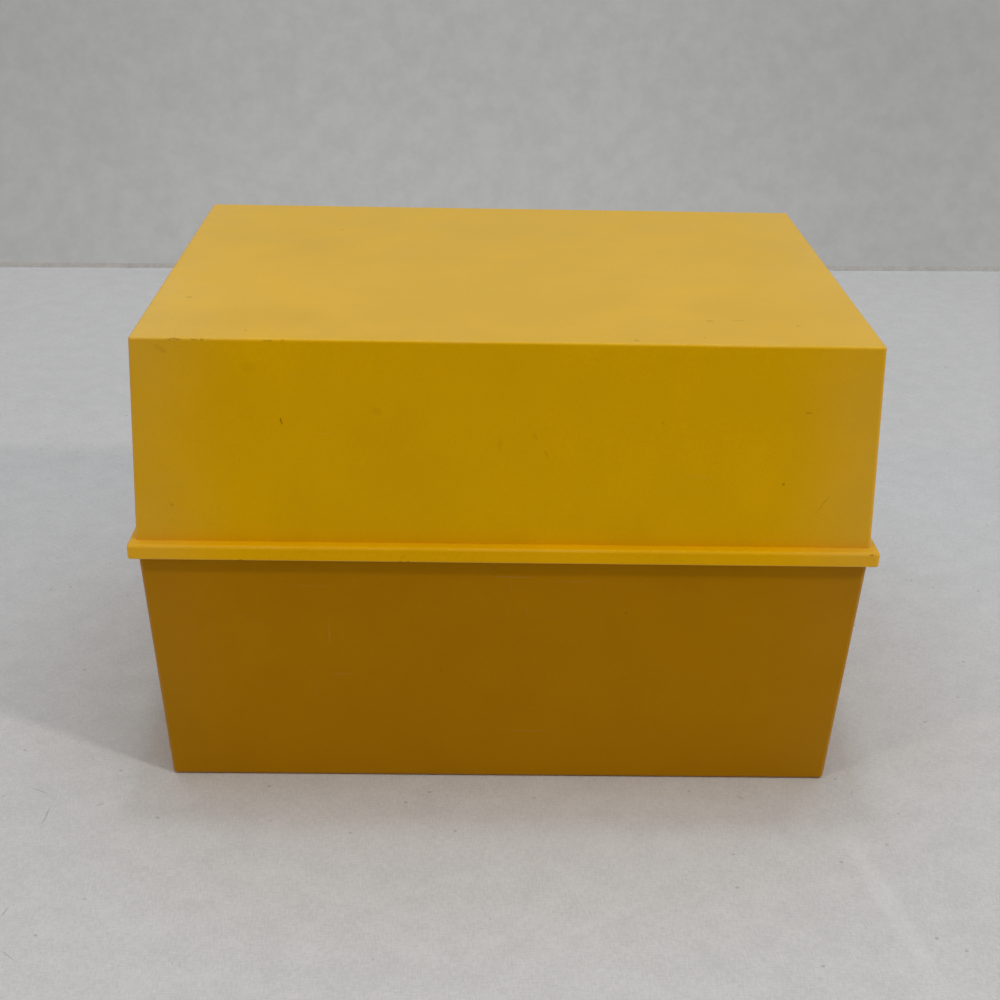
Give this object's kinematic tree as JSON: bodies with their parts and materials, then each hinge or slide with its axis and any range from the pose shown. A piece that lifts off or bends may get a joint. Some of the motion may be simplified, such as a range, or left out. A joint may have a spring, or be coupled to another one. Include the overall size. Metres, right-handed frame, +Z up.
{
  "type": "recipe box",
  "caption": "Hinged two-part plastic box for recipe cards: deep lid with a stepped rim over a tapered base, tabbed guides and cards inside",
  "frame": {"origin": "middle of the base's flat bottom face", "axes": "+Z up, X along the long side, -Y faces the front, hinge at +Y"},
  "size_m": [0.1696, 0.1343, 0.112],
  "materials": {
    "yellow_plastic": "satin moulded, golden yellow",
    "amber_plastic": "satin moulded, deeper golden yellow",
    "pin_steel": "plain drawn steel",
    "guide_board": "smooth pressed board",
    "card_stock": "uncoated card"
  },
  "bodies": {
    "box_base": {"base": "amber_plastic", "hinge_pin_left": "pin_steel", "hinge_pin_right": "pin_steel"},
    "box_lid": {"lid": "yellow_plastic"},
    "section_1": {"guide_1": "guide_board", "cards_1": "card_stock"},
    "section_2": {"guide_2": "guide_board", "cards_2": "card_stock"},
    "section_3": {"guide_3": "guide_board", "cards_3": "card_stock"},
    "section_4": {"guide_4": "guide_board", "cards_4": "card_stock"},
    "section_5": {"guide_5": "guide_board", "cards_5": "card_stock"},
    "section_6": {"guide_6": "guide_board", "cards_6": "card_stock"}
  },
  "joints": [
    {"name": "lid_hinge", "type": "hinge", "parent": "box_base", "child": "box_lid", "pos_m": [0, 0.06519, 0.063], "axis": [-1, 0, 0], "range_deg": [0, 110]},
    {"name": "browse_1", "type": "hinge", "parent": "box_base", "child": "section_1", "pos_m": [0, -0.0228, 0.00215], "axis": [1, 0, 0], "range_deg": [0, 16]},
    {"name": "browse_2", "type": "hinge", "parent": "box_base", "child": "section_2", "pos_m": [0, -0.0098, 0.00215], "axis": [1, 0, 0], "range_deg": [0, 13.33]},
    {"name": "browse_3", "type": "hinge", "parent": "box_base", "child": "section_3", "pos_m": [0, 0.0032, 0.00215], "axis": [1, 0, 0], "range_deg": [0, 10.67]},
    {"name": "browse_4", "type": "hinge", "parent": "box_base", "child": "section_4", "pos_m": [0, 0.0162, 0.00215], "axis": [1, 0, 0], "range_deg": [0, 8]},
    {"name": "browse_5", "type": "hinge", "parent": "box_base", "child": "section_5", "pos_m": [0, 0.0292, 0.00215], "axis": [1, 0, 0], "range_deg": [0, 5.33]},
    {"name": "browse_6", "type": "hinge", "parent": "box_base", "child": "section_6", "pos_m": [0, 0.0422, 0.00215], "axis": [1, 0, 0], "range_deg": [0, 2.67]}
  ],
  "couplings": [
    {"joint": "browse_2", "follows": "browse_1", "ratio": 0.83333},
    {"joint": "browse_3", "follows": "browse_1", "ratio": 0.66667},
    {"joint": "browse_4", "follows": "browse_1", "ratio": 0.5},
    {"joint": "browse_5", "follows": "browse_1", "ratio": 0.33333},
    {"joint": "browse_6", "follows": "browse_1", "ratio": 0.16667}
  ]
}
